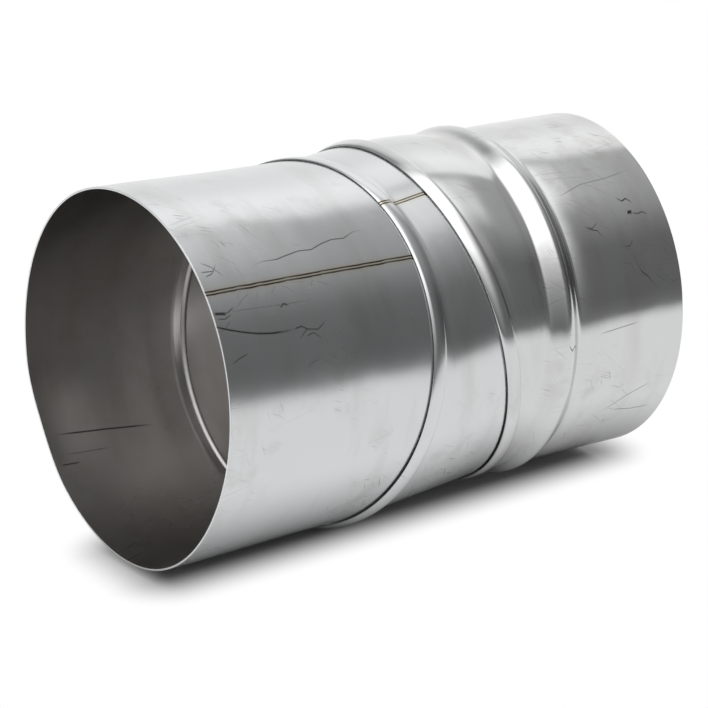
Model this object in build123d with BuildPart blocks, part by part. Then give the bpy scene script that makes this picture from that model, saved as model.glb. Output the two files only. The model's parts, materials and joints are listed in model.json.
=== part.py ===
from build123d import *
from math import cos, radians, sin
import os

# Adjustable flue elbow in sheet steel: three mitred sections joined by two captive swivel beads.
# Millimetres and degrees. The plain spigot end stands on Z = 0 and the open socket end points up.

# Sheet and tube
sheet = 0.8
socket_bore = 160.0
spigot_diameter = 159.2

# Mitre of each joint plane, and how far each upper section is turned from the straight setting
mitre_angle = 11.25
lower_turn_angle = -44.5
upper_turn_angle = -22.0

# Lengths along the sections' own axes, measured to the lip planes of the swivels
gore_length = 58.0
throat_length = 29.0
socket_depth = 62.0

# Spigot: plain length, rounded stop bead, and the plain strip left on the short side of the mitre
stop_height = 60.0
stop_crest = 7.0
stop_width = 17.1
stop_rise = 2.3
stop_ridge = 3.0
stop_round = 14.0
collar_strip = 4.0

# Swivel beads: the lip of the lower section is rolled over the flared end of the upper one
joint_radius = 81.2
lip_gap = 0.5
swivel_clearance = 0.3
bead_rise = 0.9
bead_crest = 4.4
bead_width = 9.2
bead_foot = 0.6
bead_band = 2.8
flare_start = 0.6

socket_inner = socket_bore / 2
socket_outer = socket_inner + sheet
spigot_outer = spigot_diameter / 2
spigot_inner = spigot_outer - sheet

# Female bead: lip, crest and foot radii
lip_inner = joint_radius + lip_gap
lip_outer = lip_inner + sheet
crest_inner = lip_inner + bead_rise
crest_outer = crest_inner + sheet
foot_inner = joint_radius - bead_foot
foot_outer = foot_inner + sheet

# Male flare: its crest turns inside the female crest with the swivel clearance
flare_inner = joint_radius - sheet
flare_crest = crest_inner - swivel_clearance

# The spigot section is as high as its short side needs: stop bead, plain strip, and the tilted bead
stop_top = stop_height + stop_width
bead_drop = foot_outer * sin(radians(mitre_angle)) + bead_width * cos(radians(mitre_angle))
spigot_height = stop_top + collar_strip + bead_drop


def leaned(plane, angle):
    """The plane leaned about its own Y axis."""
    return Plane(plane.location * Rot(0, angle, 0))


def turned(plane, angle):
    """The plane turned about its own normal."""
    return Plane(plane.location * Rot(0, 0, angle))


# The chain of planes from the standing spigot to the open mouth
lower_joint = leaned(Plane.XY.offset(spigot_height), -mitre_angle)
lower_turned = turned(lower_joint, lower_turn_angle)
gore_base = leaned(lower_turned, mitre_angle)
upper_joint = leaned(gore_base.offset(gore_length), mitre_angle)
upper_turned = turned(upper_joint, upper_turn_angle)
socket_floor = leaned(upper_turned, -mitre_angle).offset(throat_length)
mouth = socket_floor.offset(socket_depth)


def radial(plane):
    """Half-plane through the axis of a plane: sketch X is the radius, sketch Y runs along the axis."""
    return Plane(plane.origin, x_dir=plane.x_dir, z_dir=-plane.y_dir)


def axis_of(plane):
    """Axis through the origin of a plane, along its normal."""
    return Axis(plane.origin, plane.z_dir)


def bead_profile(joint):
    """Section of the rolled bead, with its lip on the joint plane and a flattened crest."""
    band_top, band_bottom = -bead_crest + bead_band / 2, -bead_crest - bead_band / 2
    outside = [(lip_outer, 0), (crest_outer, band_top), (crest_outer, band_bottom), (foot_outer, -bead_width)]
    inside = [(foot_inner, -bead_width), (crest_inner, band_bottom), (crest_inner, band_top), (lip_inner, 0)]
    with BuildSketch(radial(joint)) as profile:
        with BuildLine():
            Polyline(*outside, *inside, close=True)
        make_face()
    return profile.sketch


def flare_profile(joint):
    """Section of the flared end that turns inside a rolled bead, up to the crest of that bead."""
    outside = [(joint_radius, -flare_start), (flare_crest, -bead_crest)]
    inside = [(radius - sheet, height) for radius, height in reversed(outside)]
    with BuildSketch(radial(joint)) as profile:
        with BuildLine():
            Polyline(*outside, *inside, close=True)
        make_face()
    return profile.sketch


def stop_profile():
    """Section of the spigot: straight wall and the stop bead, its ridge rounded, steep below and gentle above."""
    crest_height = stop_height + stop_crest
    foot, top = (spigot_outer, stop_height), (spigot_outer, stop_top)
    with BuildSketch(radial(Plane.XY)) as profile:
        with BuildLine():
            FilletPolyline(foot, (spigot_outer + stop_ridge, crest_height), top, radius=stop_round)
            Polyline(
                top,
                (spigot_inner, stop_top),
                (spigot_inner + stop_rise, crest_height),
                (spigot_inner, stop_height),
                (spigot_inner, 0),
                (spigot_outer, 0),
                foot,
            )
        make_face()
    return profile.sketch


def disc(plane, radius):
    """Round section on a plane."""
    with BuildSketch(plane) as section:
        Circle(radius)
    return section.sketch


# Lower section: spigot with its stop bead, blended into the tilted lower swivel
stop_plane = Plane.XY.offset(stop_top)
lower_foot = lower_joint.offset(-bead_width)
with BuildPart() as spigot_section:
    loft([disc(stop_plane, spigot_outer), disc(lower_foot, foot_outer)])
    loft([disc(stop_plane, spigot_inner), disc(lower_foot, foot_inner)], mode=Mode.SUBTRACT)
    revolve(stop_profile(), axis=axis_of(Plane.XY))
    revolve(bead_profile(lower_joint), axis=axis_of(lower_joint))

# Middle section: wedge-shaped gore, flared end below and rolled bead above
lower_neck = lower_turned.offset(-flare_start)
upper_foot = upper_joint.offset(-bead_width)
with BuildPart() as middle_gore:
    loft([disc(lower_neck, joint_radius), disc(upper_foot, foot_outer)])
    loft([disc(lower_neck, flare_inner), disc(upper_foot, foot_inner)], mode=Mode.SUBTRACT)
    revolve(flare_profile(lower_joint), axis=axis_of(lower_joint))
    revolve(bead_profile(upper_joint), axis=axis_of(upper_joint))

# Upper section: plain socket end, blended into the flared end inside the upper swivel
upper_neck = upper_turned.offset(-flare_start)
with BuildPart() as socket_section:
    loft([disc(upper_neck, joint_radius), disc(socket_floor, socket_outer)])
    loft([disc(upper_neck, flare_inner), disc(socket_floor, socket_inner)], mode=Mode.SUBTRACT)
    revolve(flare_profile(upper_joint), axis=axis_of(upper_joint))
    extrude(disc(socket_floor, socket_outer) - disc(socket_floor, socket_inner), amount=socket_depth)

spigot_section.part.label = "spigot_section"
middle_gore.part.label = "middle_gore"
socket_section.part.label = "socket_section"

os.makedirs("parts", exist_ok=True)
export_step(spigot_section.part, "parts/spigot_section.step")
export_step(middle_gore.part, "parts/middle_gore.step")
export_step(socket_section.part, "parts/socket_section.step")
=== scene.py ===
"""Adjustable stainless flue elbow: three mitred sheet sections that turn in rolled beads, on a pale studio floor."""

import json
import logging
import math
from dataclasses import dataclass, field, replace
from enum import Enum

import bmesh
import bpy
import numpy as np
from mathutils import Matrix, Vector


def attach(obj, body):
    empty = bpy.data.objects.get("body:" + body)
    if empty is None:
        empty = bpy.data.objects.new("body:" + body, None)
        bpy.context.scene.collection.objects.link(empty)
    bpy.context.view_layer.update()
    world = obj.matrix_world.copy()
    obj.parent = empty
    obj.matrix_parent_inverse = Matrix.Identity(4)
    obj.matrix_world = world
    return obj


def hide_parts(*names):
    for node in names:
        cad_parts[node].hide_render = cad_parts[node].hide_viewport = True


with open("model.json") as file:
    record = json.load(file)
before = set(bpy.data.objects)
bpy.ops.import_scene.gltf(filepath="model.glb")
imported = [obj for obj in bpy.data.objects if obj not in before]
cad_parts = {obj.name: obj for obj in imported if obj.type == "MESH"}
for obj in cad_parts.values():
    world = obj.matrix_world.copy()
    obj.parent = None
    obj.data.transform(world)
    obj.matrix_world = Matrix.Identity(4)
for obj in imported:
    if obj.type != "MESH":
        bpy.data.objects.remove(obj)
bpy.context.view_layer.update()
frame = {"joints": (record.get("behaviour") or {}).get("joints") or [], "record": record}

MM = 0.001
LOG = logging.getLogger("flue_elbow")

Tree = bpy.types.NodeTree
Socket = bpy.types.NodeSocket
Span = tuple[float, float]
Stops = tuple[Span, ...]


# ---- Small helpers ----


def linear(hex_colour: str) -> tuple[float, float, float, float]:
    """Turns an sRGB hex colour into linear RGBA.

    Args:
        hex_colour: Colour such as "#c8cbcc".

    Returns:
        Linear red, green and blue, and an alpha of 1.
    """
    channels = [int(hex_colour[i : i + 2], 16) / 255 for i in (1, 3, 5)]
    return (*(c / 12.92 if c <= 0.04045 else ((c + 0.055) / 1.055) ** 2.4 for c in channels), 1.0)


def add_node(
    tree: Tree,
    kind: str,
    inputs: dict[str | int, object] | None = None,
    stops: Stops = (),
    **settings: object,
) -> bpy.types.Node:
    """Adds a node with its settings, and sets or links its inputs.

    Args:
        tree: Node tree that gets the node.
        kind: Blender's type name of the node, without ShaderNode in front.
        inputs: Input names or numbers, each with a value or with the output socket that feeds it.
        stops: Places and greys of a ramp, or points of a curve.
        **settings: Properties of the node itself.

    Returns:
        The new node.
    """
    node = tree.nodes.new(f"ShaderNode{kind}")
    for name, value in settings.items():
        setattr(node, name, value)
    if kind == "ValToRGB":
        steps = node.color_ramp.elements
        steps.remove(steps[1])
        steps[0].position = stops[0][0]
        for place, _ in stops[1:]:
            steps.new(place)
        for step, (_, grey) in zip(steps, stops):
            step.color = (grey, grey, grey, 1)
    if kind == "FloatCurve":
        line = node.mapping.curves[0].points
        line[0].location, line[1].location = stops[0], stops[-1]
        for spot in stops[1:-1]:
            line.new(*spot)
        for spot in line:
            spot.handle_type = "VECTOR"
        node.mapping.update()
    for name, value in (inputs or {}).items():
        if isinstance(value, Socket):
            tree.links.new(value, node.inputs[name])
        else:
            node.inputs[name].default_value = value
    return node


def bare_material(name: str) -> bpy.types.Material:
    """Makes a material with an empty node tree.

    Args:
        name: Name of the material.

    Returns:
        The material.
    """
    made = bpy.data.materials.new(name)
    made.use_nodes = True
    made.node_tree.nodes.clear()
    return made


def across(along: Vector, towards: Vector) -> Vector:
    """Unit part of a direction that is square to another.

    Args:
        along: Unit direction to be square to.
        towards: Direction to take the square part of.

    Returns:
        The unit direction.
    """
    return (towards - along * towards.dot(along)).normalized()


def placement(origin: Vector, axis: Vector, front: Vector) -> Matrix:
    """Frame with its Z along an axis and its X towards a front.

    Args:
        origin: Origin of the frame in metres.
        axis: Unit direction of Z.
        front: Unit direction of X, square to the axis.

    Returns:
        The frame as a 4 by 4 matrix.
    """
    side = axis.cross(front)
    return Matrix.Translation(origin) @ Matrix((front, side, axis)).transposed().to_4x4()


# ---- Finishes ----


class Side(Enum):
    """Face of the sheet that a finish is for."""

    OUTSIDE = 0
    INSIDE = 1
    EDGE = 2


@dataclass(frozen=True)
class Scratch:
    """Single mark on the unrolled sheet, in millimetres.

    It runs along the axis from start to end, and wanders across it from stage to stage. Its core is the share of its
    half width that is fully dark, and its taper the share of its length in which an end thins out.
    """

    start: float
    end: float
    wander: tuple[float, ...]
    width: float = 0.4
    dark: float = 0.75
    core: float = 0.4
    taper: float = 0.2

    def mask(self, tree: Tree, u: Socket, v: Socket) -> Socket:
        """Draws the mark, thinning out towards its ends.

        Args:
            tree: Node tree of the material.
            u: Distance round the sheet from the weld.
            v: Distance along the sheet.

        Returns:
            How strongly the mark shows.
        """
        # The hundredth keeps the span of a straight mark above nothing
        low, high = min(self.wander), max(self.wander) + 0.01
        stages = len(self.wander) - 1
        path = tuple((i / stages, (spot - low) / (high - low)) for i, spot in enumerate(self.wander))
        reach = {"Value": v, "From Min": self.start, "From Max": self.end}
        run = add_node(tree, "MapRange", reach).outputs[0]
        bend = add_node(tree, "FloatCurve", {"Value": run}, stops=path).outputs[0]
        line = add_node(tree, "Math", {0: bend, 1: high - low, 2: low}, operation="MULTIPLY_ADD").outputs[0]
        off = add_node(tree, "Math", {0: u, 1: line}, operation="SUBTRACT").outputs[0]
        near = add_node(tree, "Math", {0: off}, operation="ABSOLUTE").outputs[0]
        edge = {"Value": near, "From Min": self.width, "From Max": self.width * self.core, "To Max": self.dark}
        thin = add_node(tree, "MapRange", edge).outputs[0]
        ends = add_node(tree, "Math", {0: run, 1: 0.5}, operation="PINGPONG").outputs[0]
        body = add_node(tree, "MapRange", {"Value": ends, "From Max": self.taper}).outputs[0]
        return add_node(tree, "Math", {0: thin, 1: body}, operation="MULTIPLY").outputs[0]


@dataclass(frozen=True)
class FineMarks:
    """Many small marks of one lean in degrees, drawn as the crests of a noise, and how rare and dark they are.

    The noise has a length and a width in millimetres, and its crests are about half as long. Real marks are about
    0.1 mm wide; 0.5 mm is the finest that the render shows.
    """

    lean: float
    length: float
    rare: float = 0.82
    dark: float = 1.0
    width: float = 0.5
    edge: float = 0.06

    def mask(self, tree: Tree, laid: Socket, depth: float) -> Socket:
        """Draws the marks as the crests of a noise that is drawn out along them.

        Args:
            tree: Node tree of the material.
            laid: Place on the unrolled sheet in millimetres.
            depth: How strongly a hairline shows.

        Returns:
            How strongly a mark shows.
        """
        layout = {
            "Vector": laid,
            "Location": (self.lean, self.length, 0),
            "Rotation": (0, 0, math.radians(self.lean)),
            "Scale": (self.length, self.width, 1),
        }
        turned = add_node(tree, "Mapping", layout, vector_type="TEXTURE").outputs[0]
        grain = {"Vector": turned, "Scale": 1.0, "Detail": 0.0, "Distortion": 0.2}
        streak = add_node(tree, "TexNoise", grain, noise_dimensions="2D").outputs[0]
        crest = {
            "Value": streak,
            "From Min": self.rare,
            "From Max": self.rare + self.edge,
            "To Max": self.dark * depth,
        }
        return add_node(tree, "MapRange", crest).outputs[0]


@dataclass(frozen=True)
class WeldSeam:
    """Lengthwise butt weld: a pale bead between two brown lines, with straw heat tint between and beside them.

    Each edge and each full strength is a distance in millimetres from the middle of the weld, or of its line.
    """

    line_hex: str = "#30261c"
    straw_hex: str = "#c8b98f"
    sway: float = 0.7
    sway_length: float = 9.0
    burn_span: Span = (0.25, 0.6)
    least_burn: float = 0.7
    tint_edge: float = 3.2
    tint_full: float = 0.8
    tint_share: float = 0.3
    bead_edge: float = 0.7
    bead_full: float = 0.4
    bead_share: float = 0.18
    line_place: float = 0.66
    line_edge: float = 0.5
    line_full: float = 0.2

    def shares(self, tree: Tree, u: Socket, v: Socket) -> tuple[tuple[Socket, str], ...]:
        """Draws the weld, which wanders a few tenths of a millimetre along its run.

        Args:
            tree: Node tree of the material.
            u: Distance round the sheet from the weld.
            v: Distance along the sheet.

        Returns:
            Share and colour of the tint, the bead and the lines.
        """
        waves = {"W": v, "Scale": 1 / self.sway_length, "Detail": 2.0}
        sway = add_node(tree, "TexNoise", waves, noise_dimensions="1D").outputs[0]
        swing = {0: sway, 1: self.sway, 2: -self.sway / 2}
        moved = add_node(tree, "Math", swing, operation="MULTIPLY_ADD").outputs[0]
        off = add_node(tree, "Math", {0: u, 1: moved}, operation="ADD").outputs[0]
        away = add_node(tree, "Math", {0: off}, operation="ABSOLUTE").outputs[0]
        pale, brown = self.burn_span
        burning = {"Value": sway, "From Min": pale, "From Max": brown, "To Min": self.least_burn}
        burnt = add_node(tree, "MapRange", burning).outputs[0]
        heat = {"Value": away, "From Min": self.tint_edge, "From Max": self.tint_full, "To Max": self.tint_share}
        tint = add_node(tree, "MapRange", heat, interpolation_type="SMOOTHSTEP").outputs[0]
        patchy = add_node(tree, "Math", {0: tint, 1: burnt}, operation="MULTIPLY").outputs[0]
        crown = {"Value": away, "From Min": self.bead_edge, "From Max": self.bead_full, "To Max": self.bead_share}
        bead = add_node(tree, "MapRange", crown).outputs[0]
        from_line = add_node(tree, "Math", {0: away, 1: self.line_place}, operation="SUBTRACT").outputs[0]
        nearness = add_node(tree, "Math", {0: from_line}, operation="ABSOLUTE").outputs[0]
        stroke = {"Value": nearness, "From Min": self.line_edge, "From Max": self.line_full}
        line = add_node(tree, "MapRange", stroke).outputs[0]
        dark = add_node(tree, "Math", {0: line, 1: burnt}, operation="MULTIPLY").outputs[0]
        return (patchy, self.straw_hex), (bead, self.straw_hex), (dark, self.line_hex)


@dataclass(frozen=True)
class StainlessSheet:
    """Cold-rolled stainless sheet, 2B mill finish, rolled into a tube and butt-welded; its sizes are in millimetres.

    The rolls leave a satin mirror that blurs what it reflects; bending leaves it gently rippled, the weld leaves two
    brown lines with straw heat tint between and beside them, and handling leaves hairlines, scuffs and finger marks.
    """

    outside_hex: str = "#d1d3d4"
    inside_hex: str = "#bbb9b7"
    edge_hex: str = "#e4e5e6"
    scuff_hex: str = "#3d3b3a"
    soil_hex: str = "#8e857b"
    outside_roughness: float = 0.205
    inside_roughness: float = 0.3
    weld: WeldSeam = WeldSeam()
    # Finger marks and handling haze: clouds some 45 mm across, broken up to about 3 mm, that polish or dull the sheet
    haze_size: float = 45.0
    haze_span: Span = (0.3, 0.7)
    haze_polish: float = 0.035
    haze_dull: float = 0.05
    # Hairlines 10 to 40 mm long and dark nicks of 3 to 6 mm, in several directions, gathered where the haze is thick
    fine_marks: tuple[FineMarks, ...] = (
        FineMarks(84, 60),
        FineMarks(103, 38),
        FineMarks(48, 26),
        FineMarks(20, 14, rare=0.84, dark=2.4),
        FineMarks(66, 10, rare=0.84, dark=2.4),
    )
    gather_span: Span = (0.46, 0.64)
    outside_hairline: float = 0.3
    inside_hairline: float = 0.1
    scratches: tuple[Scratch, ...] = ()
    inner_scratches: tuple[Scratch, ...] = ()
    scuff_roughness: float = 0.25
    # Brownish finger smudges, some 4 mm across where they break out of 11 mm clouds, and soft bands round the tube
    smudge_size: float = 11.0
    smudge_span: Span = (0.29, 0.52)
    smudge_share: float = 0.26
    band_width: float = 14.0
    band_length: float = 60.0
    band_span: Span = (0.5, 0.8)
    band_share: float = 0.2
    # Ripple from bending and smaller unevenness: from crest to crest, and in height
    ripple_size: float = 60.0
    ripple: float = 1.4
    dimple_size: float = 16.0
    dimple: float = 0.065
    # Streaks of the rolls run round the tube; real ones are 0.1 mm apart, drawn at 0.9 mm so that they show
    streak_length: float = 60.0
    streak_width: float = 0.9
    streak: float = 0.0025
    scratch_depth: float = 0.012
    # Sheared edge: drag marks of the blade, 1.5 mm apart
    edge_roughness: float = 0.42
    drag_size: float = 1.5
    drag_roughness: float = 0.15

    def material(self, name: str, side: Side) -> bpy.types.Material:
        """Makes the material of one face of a section.

        Args:
            name: Name of the material.
            side: Face of the sheet.

        Returns:
            The material.
        """
        if side is Side.EDGE:
            return self.cut_edge(name)
        outside = side is Side.OUTSIDE
        made = bare_material(name)
        tree = made.node_tree
        spot = add_node(tree, "TexCoord").outputs["Object"]
        flat = add_node(tree, "UVMap", uv_map="unrolled").outputs["UV"]
        laid = add_node(tree, "VectorMath", {0: flat, "Scale": 1 / MM}, operation="SCALE").outputs[0]
        u, v, _ = add_node(tree, "SeparateXYZ", {0: laid}).outputs
        clouds = {"Vector": spot, "Scale": 1 / (self.haze_size * MM), "Detail": 4.0}
        haze = add_node(tree, "TexNoise", clouds).outputs[0]
        scuffed = self.hairlines(tree, laid, haze, self.outside_hairline if outside else self.inside_hairline)
        for scratch in self.scratches if outside else self.inner_scratches:
            mask = scratch.mask(tree, u, v)
            scuffed = add_node(tree, "Math", {0: scuffed, 1: mask}, operation="MAXIMUM").outputs[0]
        colour = linear(self.outside_hex if outside else self.inside_hex)
        soiled = self.soil(tree, spot, haze, v)
        for share, tint in (*self.weld.shares(tree, u, v), (soiled, self.soil_hex), (scuffed, self.scuff_hex)):
            layers = {0: share, 6: colour, 7: linear(tint)}
            colour = add_node(tree, "Mix", layers, data_type="RGBA").outputs[2]
        even = self.outside_roughness if outside else self.inside_roughness
        thin, thick = self.haze_span
        dulling = {
            "Value": haze,
            "From Min": thin,
            "From Max": thick,
            "To Min": even - self.haze_polish,
            "To Max": even + self.haze_dull,
        }
        hazed = add_node(tree, "MapRange", dulling).outputs[0]
        roughened = {0: scuffed, 1: self.scuff_roughness, 2: hazed}
        rough = add_node(tree, "Math", roughened, operation="MULTIPLY_ADD").outputs[0]
        normal = self.relief(tree, spot, laid, scuffed)
        metal = {"Metallic": 1.0, "Base Color": colour, "Roughness": rough, "Normal": normal}
        shader = add_node(tree, "BsdfPrincipled", metal)
        add_node(tree, "OutputMaterial", {"Surface": shader.outputs["BSDF"]})
        return made

    def cut_edge(self, name: str) -> bpy.types.Material:
        """Makes the sheared edge of the sheet: bright bare metal, dragged rough by the blade.

        Args:
            name: Name of the material.

        Returns:
            The material.
        """
        made = bare_material(name)
        tree = made.node_tree
        spot = add_node(tree, "TexCoord").outputs["Object"]
        marks = {"Vector": spot, "Scale": 1 / (self.drag_size * MM), "Detail": 2.0}
        drag = add_node(tree, "TexNoise", marks).outputs[0]
        low, high = self.edge_roughness - self.drag_roughness, self.edge_roughness + self.drag_roughness
        rough = add_node(tree, "MapRange", {"Value": drag, "To Min": low, "To Max": high}).outputs[0]
        metal = {"Metallic": 1.0, "Base Color": linear(self.edge_hex), "Roughness": rough}
        shader = add_node(tree, "BsdfPrincipled", metal)
        add_node(tree, "OutputMaterial", {"Surface": shader.outputs["BSDF"]})
        return made

    def hairlines(self, tree: Tree, laid: Socket, haze: Socket, depth: float) -> Socket:
        """Draws the many faint hairlines and the few short dark nicks of handling, in patches.

        Args:
            tree: Node tree of the material.
            laid: Place on the unrolled sheet in millimetres.
            haze: Clouds that the patches follow.
            depth: How strongly the deepest hairline shows.

        Returns:
            How strongly a hairline or a nick shows.
        """
        thin, thick = self.gather_span
        gathered = add_node(tree, "MapRange", {"Value": haze, "From Min": thin, "From Max": thick}).outputs[0]
        lines, *others = (marks.mask(tree, laid, depth) for marks in self.fine_marks)
        for line in others:
            lines = add_node(tree, "Math", {0: lines, 1: line}, operation="MAXIMUM").outputs[0]
        return add_node(tree, "Math", {0: lines, 1: gathered}, operation="MULTIPLY").outputs[0]

    def soil(self, tree: Tree, spot: Socket, haze: Socket, v: Socket) -> Socket:
        """Draws small brownish finger smudges, far apart, and soft bands round the tube.

        Args:
            tree: Node tree of the material.
            spot: Place on the piece in metres.
            haze: Clouds that the smudges gather in.
            v: Distance along the sheet.

        Returns:
            How strongly the soil shows.
        """
        specks = {"Vector": spot, "Scale": 1 / (self.smudge_size * MM), "Detail": 3.0}
        grains = add_node(tree, "TexNoise", specks).outputs[0]
        gathered = add_node(tree, "Math", {0: grains, 1: haze}, operation="MULTIPLY").outputs[0]
        thin, thick = self.smudge_span
        smear = {"Value": gathered, "From Min": thin, "From Max": thick, "To Max": self.smudge_share}
        smudge = add_node(tree, "MapRange", smear).outputs[0]
        x, y, _ = add_node(tree, "SeparateXYZ", {0: spot}).outputs
        stretch = 1 / (self.band_length * MM)
        wide, deep = (
            add_node(tree, "Math", {0: way, 1: stretch}, operation="MULTIPLY").outputs[0] for way in (x, y)
        )
        long = add_node(tree, "Math", {0: v, 1: 1 / self.band_width}, operation="MULTIPLY").outputs[0]
        place = add_node(tree, "CombineXYZ", {0: wide, 1: deep, 2: long}).outputs[0]
        bands = add_node(tree, "TexNoise", {"Vector": place, "Scale": 1.0, "Detail": 3.0}).outputs[0]
        faint, full = self.band_span
        laid_on = {"Value": bands, "From Min": faint, "From Max": full, "To Min": smudge, "To Max": self.band_share}
        return add_node(tree, "MapRange", laid_on).outputs[0]

    def relief(self, tree: Tree, spot: Socket, laid: Socket, scuffed: Socket) -> Socket:
        """Gives the sheet its ripple, its rolling streaks and the depth of its scratches.

        Args:
            tree: Node tree of the material.
            spot: Place on the piece in metres.
            laid: Place on the unrolled sheet in millimetres.
            scuffed: How strongly a scratch shows.

        Returns:
            The surface normal.
        """
        broad, small = (
            add_node(tree, "TexNoise", {"Vector": spot, "Scale": 1 / (size * MM), "Detail": detail}).outputs[0]
            for size, detail in ((self.ripple_size, 0.5), (self.dimple_size, 1.0))
        )
        rolled = {"Vector": laid, "Scale": (self.streak_length, self.streak_width, 1)}
        ring = add_node(tree, "Mapping", rolled, vector_type="TEXTURE").outputs[0]
        grain = {"Vector": ring, "Scale": 1.0, "Detail": 1.0}
        streak = add_node(tree, "TexNoise", grain, noise_dimensions="2D").outputs[0]
        height = add_node(tree, "Math", {0: broad, 1: self.ripple * MM}, operation="MULTIPLY").outputs[0]
        for wave, size in ((small, self.dimple), (streak, self.streak), (scuffed, -self.scratch_depth)):
            raised = {0: wave, 1: size * MM, 2: height}
            height = add_node(tree, "Math", raised, operation="MULTIPLY_ADD").outputs[0]
        return add_node(tree, "Bump", {"Height": height, "Strength": 1.0, "Distance": 1.0}).outputs[0]


@dataclass(frozen=True)
class SpigotSheet(StainlessSheet):
    """Sheet of the spigot section: flatter and brighter, with a few nicks near its rim."""

    outside_hex: str = "#cfd0d0"
    outside_roughness: float = 0.135
    ripple: float = 0.5
    scratches: tuple[Scratch, ...] = (
        Scratch(7, 52, (-93, -95.5, -96.5, -101), dark=0.5),
        Scratch(37, 45, (-126, -121, -120, -119), width=0.5, dark=0.85),
        Scratch(38, 46, (-117, -119.5, -118)),
        Scratch(15, 25, (-151, -146, -143, -133), width=0.5),
        Scratch(22, 28, (-128, -131, -130)),
        Scratch(15, 23, (-111, -108, -109, -106.5), width=0.6, dark=0.9),
        Scratch(17.3, 20.4, (-114.6, -115.4), width=1.0, dark=1.0),
        Scratch(18, 19.8, (-116.2, -114), width=0.8, dark=1.0),
        Scratch(9, 18, (-118, -116, -116.5, -115.5), width=0.5),
        Scratch(13, 37, (-200, -205, -213), dark=0.55),
        Scratch(6, 32, (-217, -216, -213), dark=0.55),
        Scratch(25, 48, (-166, -167, -168), dark=0.4),
        Scratch(61, 67, (-173, -170, -172, -169), width=0.5, dark=0.85),
    )


@dataclass(frozen=True)
class SocketSheet(StainlessSheet):
    """Sheet of the socket section: two long scratches outside, small ones by the weld and the mouth, a few inside."""

    scratches: tuple[Scratch, ...] = (
        Scratch(1, 64, (17, 16.6, 14.2, 14.5, 13.2, 11.2, 11.6, 10.6, 9.4, 9.6, 8.5), width=0.38, dark=0.85),
        Scratch(54, 98, (-21, -21.2, -20.8, -19.8, -18.2, -16.2, -13.8, -11), width=0.62, dark=0.95),
        Scratch(38, 54, (-20, -23, -22, -26), width=0.45),
        Scratch(47, 55, (-23, -20.5, -21), width=0.5, dark=0.85),
        Scratch(42, 50, (-27, -24, -25)),
        Scratch(84, 90.8, (-9.8, -9.1, -8.7), width=1.0, dark=0.95),
        Scratch(80, 88, (-7.4, -9.3, -8.6), width=0.5),
        Scratch(82, 90, (-10.2, -11.6, -11), width=0.5),
        Scratch(83, 90, (-12.5, -15, -16.5), dark=0.55),
        Scratch(54, 59, (-11, -10, -11.5), width=0.7, dark=0.85),
        Scratch(42, 85, (-10.7, -10, -9), dark=0.4),
        Scratch(79, 87, (6, 11, 14)),
        Scratch(80, 88, (12, 8, 7)),
        Scratch(82, 89, (9, 9.5)),
        Scratch(57, 61, (-1.5, -5.5), width=0.3, dark=0.45),
        Scratch(66, 69, (-2.5, -7), width=0.3, dark=0.45),
        Scratch(49, 55, (-6.5, -3.5, -2.5), width=0.3, dark=0.4),
        Scratch(71, 79, (-3, -5, -8), width=0.3, dark=0.5),
        Scratch(62, 64, (-4, -8.5), width=0.3, dark=0.4),
        Scratch(75, 77, (-1.5, -4.5), width=0.3, dark=0.45),
        Scratch(38, 41, (-2, -5), width=0.3, dark=0.4),
        Scratch(31, 37, (-6, -3), width=0.3, dark=0.35),
        Scratch(79, 88, (-27, -28, -30)),
        Scratch(45, 54, (-35, -36, -39), dark=0.5),
    )
    inner_scratches: tuple[Scratch, ...] = (
        Scratch(34, 87, (252, 249, 247), width=0.55, dark=0.85),
        Scratch(78, 89, (-248, -248.5), width=0.5, dark=0.85),
        Scratch(60, 84, (-252, -253), width=0.5, dark=0.4),
        Scratch(76, 92, (-196, -190), width=0.45, dark=0.6),
        Scratch(80, 95, (-186, -181), width=0.45, dark=0.5),
    )


# ---- Sections of the elbow ----


@dataclass(frozen=True)
class Ring:
    """One station of a tube in its section's frame, in millimetres and degrees: round, or oval where it leans."""

    x: float
    z: float
    tilt: float
    radius: float
    side_radius: float = 0.0
    y: float = 0.0

    @property
    def centre(self) -> Vector:
        """Centre of the ring in metres."""
        return Vector((self.x, self.y, self.z)) * MM

    @property
    def side(self) -> float:
        """Radius square to the lean."""
        return self.side_radius or self.radius

    def towards(self, other: "Ring", share: float) -> "Ring":
        """Ring part of the way to another one, on the straight lines that join them.

        Args:
            other: Ring at the far end.
            share: 0 for this ring, 1 for the other.

        Returns:
            The ring between them.
        """
        here, there = math.radians(self.tilt), math.radians(other.tilt)
        reach, lean = (
            (1 - share) * self.radius * turn(here) + share * other.radius * turn(there)
            for turn in (math.cos, math.sin)
        )
        x, z, side = (a + (b - a) * share for a, b in ((self.x, other.x), (self.z, other.z), (self.side, other.side)))
        return Ring(x, z, math.degrees(math.atan2(lean, reach)), math.hypot(reach, lean), side)


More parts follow.
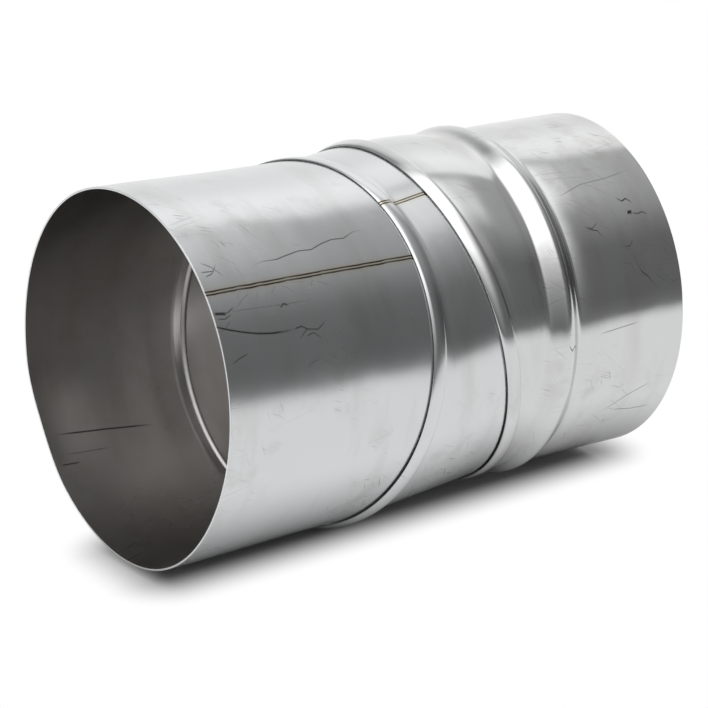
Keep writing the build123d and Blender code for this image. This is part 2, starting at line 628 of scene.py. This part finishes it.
@dataclass(frozen=True)
class SwivelBead:
    """Rolled bead of a swivel and the flared end that turns inside it, in millimetres and degrees.

    Depths are measured down from the lip plane. The lip is wider by its oval square to the lean, and the crest stands
    a little off the middle by its shift.
    """

    mitre: float = 11.25
    neck_radius: float = 81.2
    flare_radius: float = 81.7
    flare_start: float = 1.2
    flare_depth: float = 5.4
    crest_depth: float = 5.6
    foot_depth: float = 9.6
    lip_radius: float = 82.1
    lip_oval: float = 0.0
    crest_radius: float = 83.2
    crest_shift: Span = (0.0, 0.0)
    foot_radius: float = 80.6
    steps: int = 12

    def ring(self, height: float, tilt: float, depth: float, radius: float) -> Ring:
        """Ring on the leaning plane of the joint.

        Args:
            height: Height of the joint on the section's axis.
            tilt: Lean of the joint plane in the section's frame.
            depth: Distance below the lip plane.
            radius: Radius of the ring.

        Returns:
            The ring.
        """
        lean = math.radians(tilt)
        return Ring(-depth * math.sin(lean), height - depth * math.cos(lean), tilt, radius)

    def bead(self, height: float, tilt: float) -> list[Ring]:
        """Rings of the rolled bead, from its hollow foot over the crest to the lip that curls in.

        Args:
            height: Height of the joint on the section's axis.
            tilt: Lean of the joint plane in the section's frame.

        Returns:
            The rings.
        """
        shift_x, shift_y = self.crest_shift
        wide_lip = self.lip_radius + self.lip_oval
        rings = []
        for i in range(self.steps + 1):
            share = i / self.steps
            depth = self.foot_depth + (self.crest_depth - self.foot_depth) * share
            steep = share * share * (3 - 2 * share)
            rise = (1 - math.cos(math.pi * steep)) / 2
            ring = self.ring(height, tilt, depth, self.foot_radius + (self.crest_radius - self.foot_radius) * rise)
            rings.append(replace(ring, x=ring.x + rise * shift_x, y=rise * shift_y))
        for i in range(1, self.steps + 1):
            turn = math.pi / 2 * i / self.steps
            stand = math.cos(turn)
            radius, side = (lip + (self.crest_radius - lip) * stand for lip in (self.lip_radius, wide_lip))
            ring = self.ring(height, tilt, self.crest_depth * (1 - math.sin(turn)), radius)
            rings.append(replace(ring, side_radius=side, x=ring.x + stand * shift_x, y=stand * shift_y))
        return rings

    def flare(self, height: float, tilt: float) -> list[Ring]:
        """Rings of the flared end, from its edge up to the neck.

        Args:
            height: Height of the joint on the section's axis.
            tilt: Lean of the joint plane in the section's frame.

        Returns:
            The rings.
        """
        rings = []
        for i in range(self.steps + 1):
            share = i / self.steps
            depth = self.flare_depth + (self.flare_start - self.flare_depth) * share
            rise = math.cos(math.pi / 2 * share)
            radius = self.neck_radius + (self.flare_radius - self.neck_radius) * rise
            rings.append(self.ring(height, tilt, depth, radius))
        return rings


@dataclass
class TubeSection:
    """One mitred section of the elbow, drawn ring by ring and given the thickness of the sheet."""

    name: str
    node: str
    body: str
    place: Matrix
    finish: StainlessSheet
    weld_turn: float = 0.0
    swivel: SwivelBead = SwivelBead()
    sheet: float = 0.8
    edge_round: float = 0.08
    edge_steps: int = 2
    edge_angle: float = 60.0
    edge_hold: float = 0.4
    smooth_angle: float = 40.0
    sides: int = 192
    blend_steps: int = 8

    def rings(self) -> list[Ring]:
        """Rings of the section's outer face, from its lower end to its upper end."""
        raise NotImplementedError

    def between(self, lower: Ring, upper: Ring, bulge: float = 0.0) -> list[Ring]:
        """Rings strictly between two stations of the tube.

        Args:
            lower: Station below.
            upper: Station above.
            bulge: How far the sheet stands out half-way up its long side, in millimetres.

        Returns:
            The rings.
        """
        rings = []
        for i in range(1, self.blend_steps):
            share = i / self.blend_steps
            ring = lower.towards(upper, share)
            out = 2 * bulge * share * (1 - share)
            rings.append(replace(ring, x=ring.x + out, radius=ring.radius + out, side_radius=ring.side + out))
        return rings

    def shape(self, tube: bpy.types.Object) -> None:
        """Handling marks in the form itself; a plain section has none.

        Args:
            tube: The open tube before it gets its thickness, in edit mode.
        """

    def draw(self) -> bpy.types.Object:
        """Draws the open tube, each ring extruded from the one before.

        Returns:
            The tube, left in edit mode.
        """
        last, *rest = self.rings()
        bpy.ops.object.select_all(action="DESELECT")
        bpy.ops.mesh.primitive_circle_add(
            vertices=self.sides,
            radius=last.radius * MM,
            location=last.centre,
            rotation=(0, math.radians(last.tilt), 0),
        )
        tube = bpy.context.object
        tube.name = tube.data.name = self.name
        bpy.ops.object.transform_apply(location=True, rotation=True, scale=True)
        bpy.ops.object.mode_set(mode="EDIT")
        bpy.ops.mesh.select_all(action="SELECT")
        for ring in rest:
            bpy.ops.mesh.extrude_edges_move(TRANSFORM_OT_translate={"value": ring.centre - last.centre})
            grow = (ring.radius / last.radius, ring.side / last.side, 1)
            bpy.ops.transform.rotate(value=math.radians(last.tilt), orient_axis="Y", center_override=ring.centre)
            bpy.ops.transform.resize(value=grow, center_override=ring.centre)
            bpy.ops.transform.rotate(value=math.radians(-ring.tilt), orient_axis="Y", center_override=ring.centre)
            last = ring
        return tube

    def build(self) -> bpy.types.Object:
        """Draws the tube, shapes it, sets up its thickness and lays out its sheet.

        Returns:
            The shell in the section's own frame.
        """
        tube = self.draw()
        self.shape(tube)
        bpy.ops.mesh.select_all(action="SELECT")
        bpy.ops.mesh.normals_make_consistent(inside=False)
        bpy.ops.object.mode_set(mode="OBJECT")
        wall = tube.modifiers.new("sheet", "SOLIDIFY")
        wall.thickness = self.sheet * MM
        wall.offset = -1
        wall.use_even_offset = True
        wall.material_offset = Side.INSIDE.value
        wall.material_offset_rim = Side.EDGE.value
        edge = tube.modifiers.new("cut_edge", "BEVEL")
        edge.width = self.edge_round * MM
        edge.segments = self.edge_steps
        edge.limit_method = "ANGLE"
        edge.angle_limit = math.radians(self.edge_angle)
        self.unroll(tube)
        return tube

    def unroll(self, tube: bpy.types.Object) -> None:
        """Lays the sheet out flat as a UV map in metres, with the weld at U = 0 and V along the axis.

        Args:
            tube: The shell in the section's own frame.
        """
        mesh = tube.data
        sheet_map = mesh.uv_layers.new(name="unrolled")
        spots = np.empty(len(mesh.vertices) * 3)
        mesh.vertices.foreach_get("co", spots)
        spots = spots.reshape(-1, 3)
        corners = np.empty(len(mesh.loops), dtype=int)
        mesh.loops.foreach_get("vertex_index", corners)
        weld = math.radians(self.weld_turn)
        angles = (np.arctan2(spots[:, 1], spots[:, 0]) - weld + math.pi) % math.tau - math.pi
        angles = angles[corners]
        # A face that straddles the side opposite the weld stays in one piece
        for face in mesh.polygons:
            span = angles[face.loop_start : face.loop_start + face.loop_total]
            if span.max() - span.min() > math.pi:
                span[span < 0] += math.tau
        laid = np.column_stack((angles * self.swivel.neck_radius * MM, spots[corners, 2]))
        sheet_map.data.foreach_set("uv", laid.astype(np.float32).ravel())

    def dress(self, tube: bpy.types.Object) -> None:
        """Gives the shell its faces of sheet, its thickness, its place and its body.

        Args:
            tube: The shell in the section's own frame.
        """
        for side in Side:
            name = f"mill_finish_stainless_{self.body}_{side.name.lower()}"
            tube.data.materials.append(self.finish.material(name, side))
        bpy.context.view_layer.objects.active = tube
        for modifier in [m.name for m in tube.modifiers]:
            bpy.ops.object.modifier_apply(modifier=modifier)
        bpy.ops.object.shade_smooth_by_angle(angle=math.radians(self.smooth_angle))
        tube.matrix_world = self.place
        bpy.ops.object.transform_apply(location=True, rotation=True, scale=True)
        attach(tube, self.body)
        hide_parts(self.node)
        LOG.info("%s: %d faces on body %s", self.name, len(tube.data.polygons), self.body)


@dataclass
class SpigotSection(TubeSection):
    """Lower section: plain spigot, rounded stop bead, and a rolled bead on the mitred edge; sizes in millimetres."""

    height: float = 106.0
    radius: float = 79.6
    stop_height: float = 58.0
    stop_crest: float = 7.8
    stop_width: float = 17.8
    stop_rise: float = 2.6
    stop_steepness: float = 1.8
    stop_steps: int = 14
    draw_in: float = 0.9
    draw_reach: float = 14.0
    top_draw_in: float = 0.3
    strip_bulge: float = 1.2

    def rings(self) -> list[Ring]:
        """Rings from the rim up to the lip of the lower swivel.

        Returns:
            The rings.
        """
        drawn = self.radius - self.draw_in
        rim = Ring(0, 0, 0, self.radius)
        hold = replace(rim, z=self.edge_hold)
        plain = replace(rim, z=self.stop_height - self.draw_reach)
        low, crest, top = (self.stop_height + rise for rise in (0, self.stop_crest, self.stop_width))
        stop = []
        for i in range(1, self.stop_steps):
            share = i / self.stop_steps
            stop.append(Ring(0, plain.z + self.draw_reach * share, 0, self.radius - self.draw_in * share**2))
        for i in range(self.stop_steps):
            share = i / self.stop_steps
            rise = (self.stop_rise + self.draw_in) * math.sin(math.pi / 2 * share) ** self.stop_steepness
            stop.append(Ring(0, low + self.stop_crest * share, 0, drawn + rise))
        for i in range(self.stop_steps + 1):
            share = i / self.stop_steps
            rise = (self.stop_rise + self.top_draw_in) * math.cos(math.pi / 2 * share) ** 2
            stop.append(Ring(0, crest + (top - crest) * share, 0, self.radius - self.top_draw_in + rise))
        bead = self.swivel.bead(self.height, -self.swivel.mitre)
        strip = self.between(stop[-1], bead[0], self.strip_bulge)
        return [rim, hold, *self.between(hold, plain), plain, *stop, *strip, *bead]


@dataclass
class MiddleGore(TubeSection):
    """Wedge-shaped section between the swivels: flared end below, rolled bead above."""

    length: float = 58.0

    def rings(self) -> list[Ring]:
        """Rings from the flared edge up to the lip of the upper swivel.

        Returns:
            The rings.
        """
        flare = self.swivel.flare(0, -self.swivel.mitre)
        bead = self.swivel.bead(self.length, self.swivel.mitre)
        return [*flare, *self.between(flare[-1], bead[0]), *bead]


@dataclass(frozen=True)
class Knock:
    """Place on a rim that handling has pushed: turn in degrees, push towards the axis and reach in millimetres."""

    turn: float
    push: float
    reach: float


@dataclass
class SocketSection(TubeSection):
    """Upper section: flared end inside the upper swivel, and a plain open mouth, a little out of round."""

    throat: float = 29.0
    length: float = 91.0
    radius: float = 80.8
    knocks: tuple[Knock, ...] = (
        Knock(-100, -1.5, 85),
        Knock(-160, -1.2, 85),
        Knock(65, -1.8, 85),
        Knock(112, 1.4, 75),
        Knock(-10, 2.0, 32),
    )

    def shape(self, tube: bpy.types.Object) -> None:
        """Pushes the rim of the mouth out of round.

        Args:
            tube: The open tube before it gets its thickness, in edit mode.
        """
        for knock in self.knocks:
            turn = math.radians(knock.turn)
            way = Vector((math.cos(turn), math.sin(turn), 0))
            rim = Vector((0, 0, self.length * MM)) + way * self.radius * MM
            bpy.ops.mesh.select_all(action="DESELECT")
            mesh = bmesh.from_edit_mesh(tube.data)
            min(mesh.verts, key=lambda vert: (vert.co - rim).length).select = True
            mesh.select_flush(True)
            bmesh.update_edit_mesh(tube.data)
            bpy.ops.transform.translate(
                value=way * (-knock.push * MM),
                use_proportional_edit=True,
                proportional_edit_falloff="SMOOTH",
                proportional_size=knock.reach * MM,
            )

    def rings(self) -> list[Ring]:
        """Rings from the flared edge up to the rim of the mouth.

        Returns:
            The rings.
        """
        flare = self.swivel.flare(0, -self.swivel.mitre)
        floor = Ring(0, self.throat, 0, self.radius)
        mouth = Ring(0, self.length, 0, self.radius)
        hold = replace(mouth, z=self.length - self.edge_hold)
        return [*flare, *self.between(flare[-1], floor), floor, *self.between(floor, hold), hold, mouth]


@dataclass
class FlueElbow:
    """The whole elbow, with its section frames worked out from the frame's joints and mounts."""

    joints: list[dict]
    mounts: list[dict]
    spigot_weld_turn: float = 14.0
    gore_weld_turn: float = -2.2
    socket_weld_turn: float = 179.7
    lower_bead: SwivelBead = SwivelBead(lip_radius=81.8, lip_oval=0.4, crest_shift=(-0.35, -0.2), foot_radius=79.8)
    upper_bead: SwivelBead = SwivelBead(lip_radius=81.55, lip_oval=0.5, crest_shift=(-0.25, -0.32), foot_radius=81.05)
    upper_flare: SwivelBead = SwivelBead(flare_start=0.5)

    def sections(self) -> list[TubeSection]:
        """Works out the three sections.

        Returns:
            The sections from the spigot to the mouth.
        """
        joint = {j["name"]: (Vector(j["pos_m"]), Vector(j["axis"]).normalized()) for j in self.joints}
        mount = {m["name"]: (Vector(m["pos_m"]), Vector(m["axis"]).normalized()) for m in self.mounts}
        rim, down = mount["spigot"]
        mouth, mouth_axis = mount["socket"]
        lower, lower_axis = joint["lower_swivel"]
        upper, upper_axis = joint["upper_swivel"]
        gore_axis = (lower_axis + upper_axis).normalized()
        return [
            SpigotSection(
                name="spigot_shell",
                node="spigot_section",
                body="spigot",
                place=placement(rim, -down, across(-down, -lower_axis)),
                finish=SpigotSheet(),
                weld_turn=self.spigot_weld_turn,
                swivel=self.lower_bead,
                height=(lower - rim).length / MM,
            ),
            MiddleGore(
                name="gore_shell",
                node="middle_gore",
                body="gore",
                place=placement(lower, gore_axis, across(gore_axis, upper_axis - lower_axis)),
                finish=StainlessSheet(),
                weld_turn=self.gore_weld_turn,
                swivel=self.upper_bead,
                length=(upper - lower).length / MM,
            ),
            SocketSection(
                name="socket_shell",
                node="socket_section",
                body="socket",
                place=placement(upper, mouth_axis, across(mouth_axis, -upper_axis)),
                finish=SocketSheet(),
                weld_turn=self.socket_weld_turn,
                swivel=self.upper_flare,
                length=(mouth - upper).length / MM,
            ),
        ]

    def build(self) -> list[bpy.types.Object]:
        """Builds and dresses the sections.

        Returns:
            The three shells.
        """
        shells = []
        for section in self.sections():
            shell = section.build()
            section.dress(shell)
            shells.append(shell)
        return shells


# ---- Studio ----


@dataclass(frozen=True)
class SoftBox:
    """Patch of studio light: its span in degrees round the elbow, its span along the elbow, and its brightness."""

    turns: Stops
    lengths: Stops
    level: float


@dataclass
class Studio:
    """Pale floor under the lying elbow, soft light from behind and above, and a dim room on the camera's side."""

    up: Vector = field(default_factory=lambda: Vector((0.96219, -0.27229, -0.00773)).normalized())
    # Floor in metres: its width, how far it comes forward of the origin, and where its mirror image starts to fade
    floor_width: float = 6.0
    floor_front: float = 0.65
    floor_fade: float = 0.3
    # Grey of the paper wherever it is not plain white. It is darker than a pale floor, a painted shade that deepens the
    # elbow's shadow for the camera and in the metal, and it dims the floor's mirror image far in front
    shade_deepening_grey_hex: str = "#a8a8a8"
    # Shadow in millimetres: what counts as resting, the half width of its core, what is left off it at the mouth, and
    # how far it reaches for the camera and in the metal
    resting_height: float = 3.0
    shadow_half: float = 17.0
    shadow_mouth: float = 18.0
    shadow_reach: float = 34.0
    mirrored_reach: float = 86.0
    # Brightness of the room by degrees round the elbow, from straight up (0) over the front (90) and the back (-90)
    walls: Stops = (
        (-180, 0.50), (-110, 0.95), (-75, 1.00), (-55, 1.12), (-38, 1.30), (-23, 1.2), (-19, 0.5), (14, 0.46),
        (27, 0.41), (40, 0.27), (52, 0.18), (88, 0.16), (96, 0.20), (130, 0.40), (180, 0.50),
    )
    # The same by the part of the direction that lies along the elbow, from the spigot's end (-1) to the mouth's (1)
    wall_lengths: Stops = (
        (-1, 0.35), (-0.85, 0.5), (-0.7, 0.95), (-0.5, 1.0), (-0.25, 0.7), (0, 0.3), (1, 0.34),
    )
    boxes: tuple[SoftBox, ...] = (
        SoftBox(
            turns=((-26, 0), (-8, 1), (42, 1), (60, 0.45), (76, 0.2), (92, 0.1), (104, 0)),
            lengths=((-0.47, 0), (-0.4, 0.3), (-0.3, 0.8), (-0.2, 1), (0.8, 1), (0.95, 0)),
            level=1.7,
        ),
        SoftBox(
            turns=((-20, 0), (-12, 1), (12, 1), (27, 0)),
            lengths=((-0.6, 0), (-0.55, 1), (-0.4, 1), (-0.2, 0)),
            level=0.46,
        ),
    )
    # White backdrop that the metal shows: parts of a direction that lie to the front and to the left, from none to full
    backdrop_nearness: Span = (-0.62, -0.82)
    backdrop_leftness: Span = (-0.15, -0.35)

    @property
    def front(self) -> Vector:
        """Level direction from the elbow's long side towards the camera."""
        return self.up.cross(Vector((0, 0, 1))).normalized()

    @property
    def left(self) -> Vector:
        """Level direction along the elbow, towards its mouth."""
        return self.front.cross(self.up).normalized()

    def lay_floor(self, shells: list[bpy.types.Object]) -> None:
        """Lays the floor against the lowest line of the shells.

        Args:
            shells: Pieces that rest on the floor.
        """
        points = [vert.co for shell in shells for vert in shell.data.vertices]
        lowest = min(point.dot(self.up) for point in points)
        resting = [point for point in points if point.dot(self.up) < lowest + self.resting_height * MM]
        middles = [
            sum((vert.co for vert in shell.data.vertices), Vector()) / len(shell.data.vertices) for shell in shells
        ]
        bpy.ops.object.select_all(action="DESELECT")
        bpy.ops.mesh.primitive_plane_add(
            size=self.floor_width, location=(self.floor_front - self.floor_width / 2, 0, 0)
        )
        floor = bpy.context.object
        floor.name = "studio_floor"
        bpy.ops.object.transform_apply(location=True, rotation=True, scale=True)
        floor.matrix_world = placement(self.up * lowest, self.up, self.front)
        bpy.ops.object.transform_apply(location=True, rotation=True, scale=True)
        floor.data.materials.append(self.paper(points, resting, middles[-1] - middles[0]))
        LOG.info("studio_floor: laid")

    def past_shadow(
        self, tree: Tree, spot: Socket, points: list[Vector], resting: list[Vector], run: Vector
    ) -> Socket:
        """Measures how far a place on the floor lies outside the core of the elbow's shadow.

        Args:
            tree: Node tree of the paper.
            spot: Place on the floor in metres.
            points: All points of the elbow.
            resting: Points that rest on the floor.
            run: Direction of the elbow from its spigot to its mouth.

        Returns:
            The distance in metres.
        """
        square = self.front - self.left * (run.dot(self.front) / run.dot(self.left))
        widths = [point.dot(square) for point in resting]
        lengths = [point.dot(self.left) for point in points]
        # Light comes in at the open mouth, so the shadow pales before it gets there
        low, high = min(lengths), max(lengths) - self.shadow_mouth * MM
        away = []
        for way, middle, half in (
            (square, (min(widths) + max(widths)) / 2, self.shadow_half * MM),
            (self.left, (low + high) / 2, (high - low) / 2),
        ):
            place = add_node(tree, "VectorMath", {0: spot, 1: way}, operation="DOT_PRODUCT").outputs["Value"]
            off = add_node(tree, "Math", {0: place, 1: middle}, operation="SUBTRACT").outputs[0]
            far = add_node(tree, "Math", {0: off}, operation="ABSOLUTE").outputs[0]
            past = add_node(tree, "Math", {0: far, 1: half}, operation="SUBTRACT").outputs[0]
            away.append(add_node(tree, "Math", {0: past, 1: 0.0}, operation="MAXIMUM").outputs[0])
        gap = add_node(tree, "CombineXYZ", {0: away[0], 1: away[1]}).outputs[0]
        return add_node(tree, "VectorMath", {0: gap}, operation="LENGTH").outputs["Value"]

    def paper(self, points: list[Vector], resting: list[Vector], run: Vector) -> bpy.types.Material:
        """Makes the floor's paper: matt grey where the elbow's shadow falls, a painted shade that deepens that shadow,
        plain white elsewhere, and clear from below.

        Args:
            points: All points of the elbow.
            resting: Points that rest on the floor.
            run: Direction of the elbow from its spigot to its mouth.

        Returns:
            The material.
        """
        made = bare_material("white_paper")
        tree = made.node_tree
        path = add_node(tree, "LightPath").outputs
        matt = add_node(tree, "BsdfDiffuse", {"Color": linear(self.shade_deepening_grey_hex)})
        white = add_node(tree, "Emission", {"Color": (1, 1, 1, 1), "Strength": 1.0})
        clear = add_node(tree, "BsdfTransparent")
        spot = add_node(tree, "TexCoord").outputs["Object"]
        distance = self.past_shadow(tree, spot, points, resting, run)
        forward = {0: spot, 1: self.front}
        ahead = add_node(tree, "VectorMath", forward, operation="DOT_PRODUCT").outputs["Value"]
        fading = {"Value": ahead, "From Min": self.floor_front, "From Max": self.floor_front - self.floor_fade}
        faded = add_node(tree, "MapRange", fading, interpolation_type="SMOOTHSTEP").outputs[0]
        # Near the elbow the camera and the metal see the grey paper, whose painted shade deepens the shadow; further
        # off they see plain white
        shares = []
        for ray, reach, most in (
            ("Is Camera Ray", self.shadow_reach, 1.0),
            ("Is Glossy Ray", self.mirrored_reach, faded),
        ):
            paling = {"Value": distance, "From Max": reach * MM, "To Max": most}
            bare = add_node(tree, "MapRange", paling, interpolation_type="SMOOTHSTEP").outputs[0]
            shares.append(add_node(tree, "Math", {0: path[ray], 1: bare}, operation="MULTIPLY").outputs[0])
        share = add_node(tree, "Math", {0: shares[0], 1: shares[1]}, operation="MAXIMUM").outputs[0]
        paler = add_node(tree, "MixShader", {0: share, 1: matt.outputs[0], 2: white.outputs[0]})
        behind = add_node(tree, "NewGeometry").outputs["Backfacing"]
        shown = add_node(tree, "MixShader", {0: behind, 1: paler.outputs[0], 2: clear.outputs[0]})
        add_node(tree, "OutputMaterial", {"Surface": shown.outputs[0]})
        return made

    def light(self) -> None:
        """Lights the scene with a world that is white behind and above, and dim in front."""
        world = bpy.data.worlds.new("studio")
        bpy.context.scene.world = world
        world.use_nodes = True
        tree = world.node_tree
        tree.nodes.clear()
        ray = add_node(tree, "TexCoord").outputs["Generated"]
        height, nearness, leftness = (
            add_node(tree, "VectorMath", {0: ray, 1: way}, operation="DOT_PRODUCT").outputs["Value"]
            for way in (self.up, self.front, self.left)
        )
        turn = add_node(tree, "Math", {0: nearness, 1: height}, operation="ARCTAN2").outputs[0]
        full_turn = {"Value": turn, "From Min": -math.pi, "From Max": math.pi}
        place = add_node(tree, "MapRange", full_turn).outputs[0]
        along = add_node(tree, "MapRange", {"Value": leftness, "From Min": -1.0}).outputs[0]
        around = 0.0
        for patch in (SoftBox(self.walls, self.wall_lengths, 1.0), *self.boxes):
            span = tuple(((degrees + 180) / 360, grey) for degrees, grey in patch.turns)
            reach = tuple(((share + 1) / 2, grey) for share, grey in patch.lengths)
            round_it = add_node(tree, "ValToRGB", {0: place}, stops=span).outputs[0]
            along_it = add_node(tree, "ValToRGB", {0: along}, stops=reach).outputs[0]
            shape = add_node(tree, "Math", {0: round_it, 1: along_it}, operation="MULTIPLY").outputs[0]
            added = {0: shape, 1: patch.level, 2: around}
            around = add_node(tree, "Math", added, operation="MULTIPLY_ADD").outputs[0]
        lit = add_node(tree, "Background", {"Color": around, "Strength": 1.0})
        white = add_node(tree, "Background", {"Color": (1, 1, 1, 1), "Strength": 1.0})
        path = add_node(tree, "LightPath").outputs
        # The metal shows the white backdrop low down behind the elbow, and the studio elsewhere
        low, right = (
            add_node(tree, "MapRange", {"Value": part, "From Min": none, "From Max": full}).outputs[0]
            for part, (none, full) in ((nearness, self.backdrop_nearness), (leftness, self.backdrop_leftness))
        )
        backdrop = add_node(tree, "Math", {0: low, 1: right}, operation="MULTIPLY").outputs[0]
        glossy = {0: path["Is Glossy Ray"], 1: backdrop}
        mirrored = add_node(tree, "Math", glossy, operation="MULTIPLY").outputs[0]
        seen = add_node(tree, "Math", {0: path["Is Camera Ray"], 1: mirrored}, operation="MAXIMUM").outputs[0]
        mixed = add_node(tree, "MixShader", {0: seen, 1: lit.outputs[0], 2: white.outputs[0]})
        add_node(tree, "OutputWorld", {"Surface": mixed.outputs[0]})
        bpy.context.scene.view_settings.view_transform = "Standard"


@dataclass(frozen=True)
class StudioCamera:
    """Camera at the photograph's place, with its station, sensor and lens in millimetres."""

    station: tuple[float, float, float] = (85.93, -934.58, 685.08)
    forward: tuple[float, float, float] = (-0.09156, 0.85596, -0.50887)
    top: tuple[float, float, float] = (0.98396, -0.00079, -0.17837)
    sensor: float = 36.0
    lens: float = 121.92

    def stand(self) -> None:
        """Stands the camera on its side, as the elbow lies."""
        lens = bpy.data.cameras.new("camera")
        lens.sensor_width = self.sensor
        lens.lens = self.lens
        camera = bpy.data.objects.new("camera", lens)
        bpy.context.scene.collection.objects.link(camera)
        forward = Vector(self.forward).normalized()
        top = across(forward, Vector(self.top))
        camera.matrix_world = placement(Vector(self.station) * MM, -forward, forward.cross(top))
        bpy.context.scene.camera = camera


def main() -> None:
    """Builds the elbow, then the studio around it."""
    logging.basicConfig(level=logging.INFO, format="%(message)s")
    shells = FlueElbow(frame["joints"], frame["record"]["mounts"]).build()
    studio = Studio()
    studio.lay_floor(shells)
    studio.light()
    StudioCamera().stand()


if __name__ == "__main__":
    main()
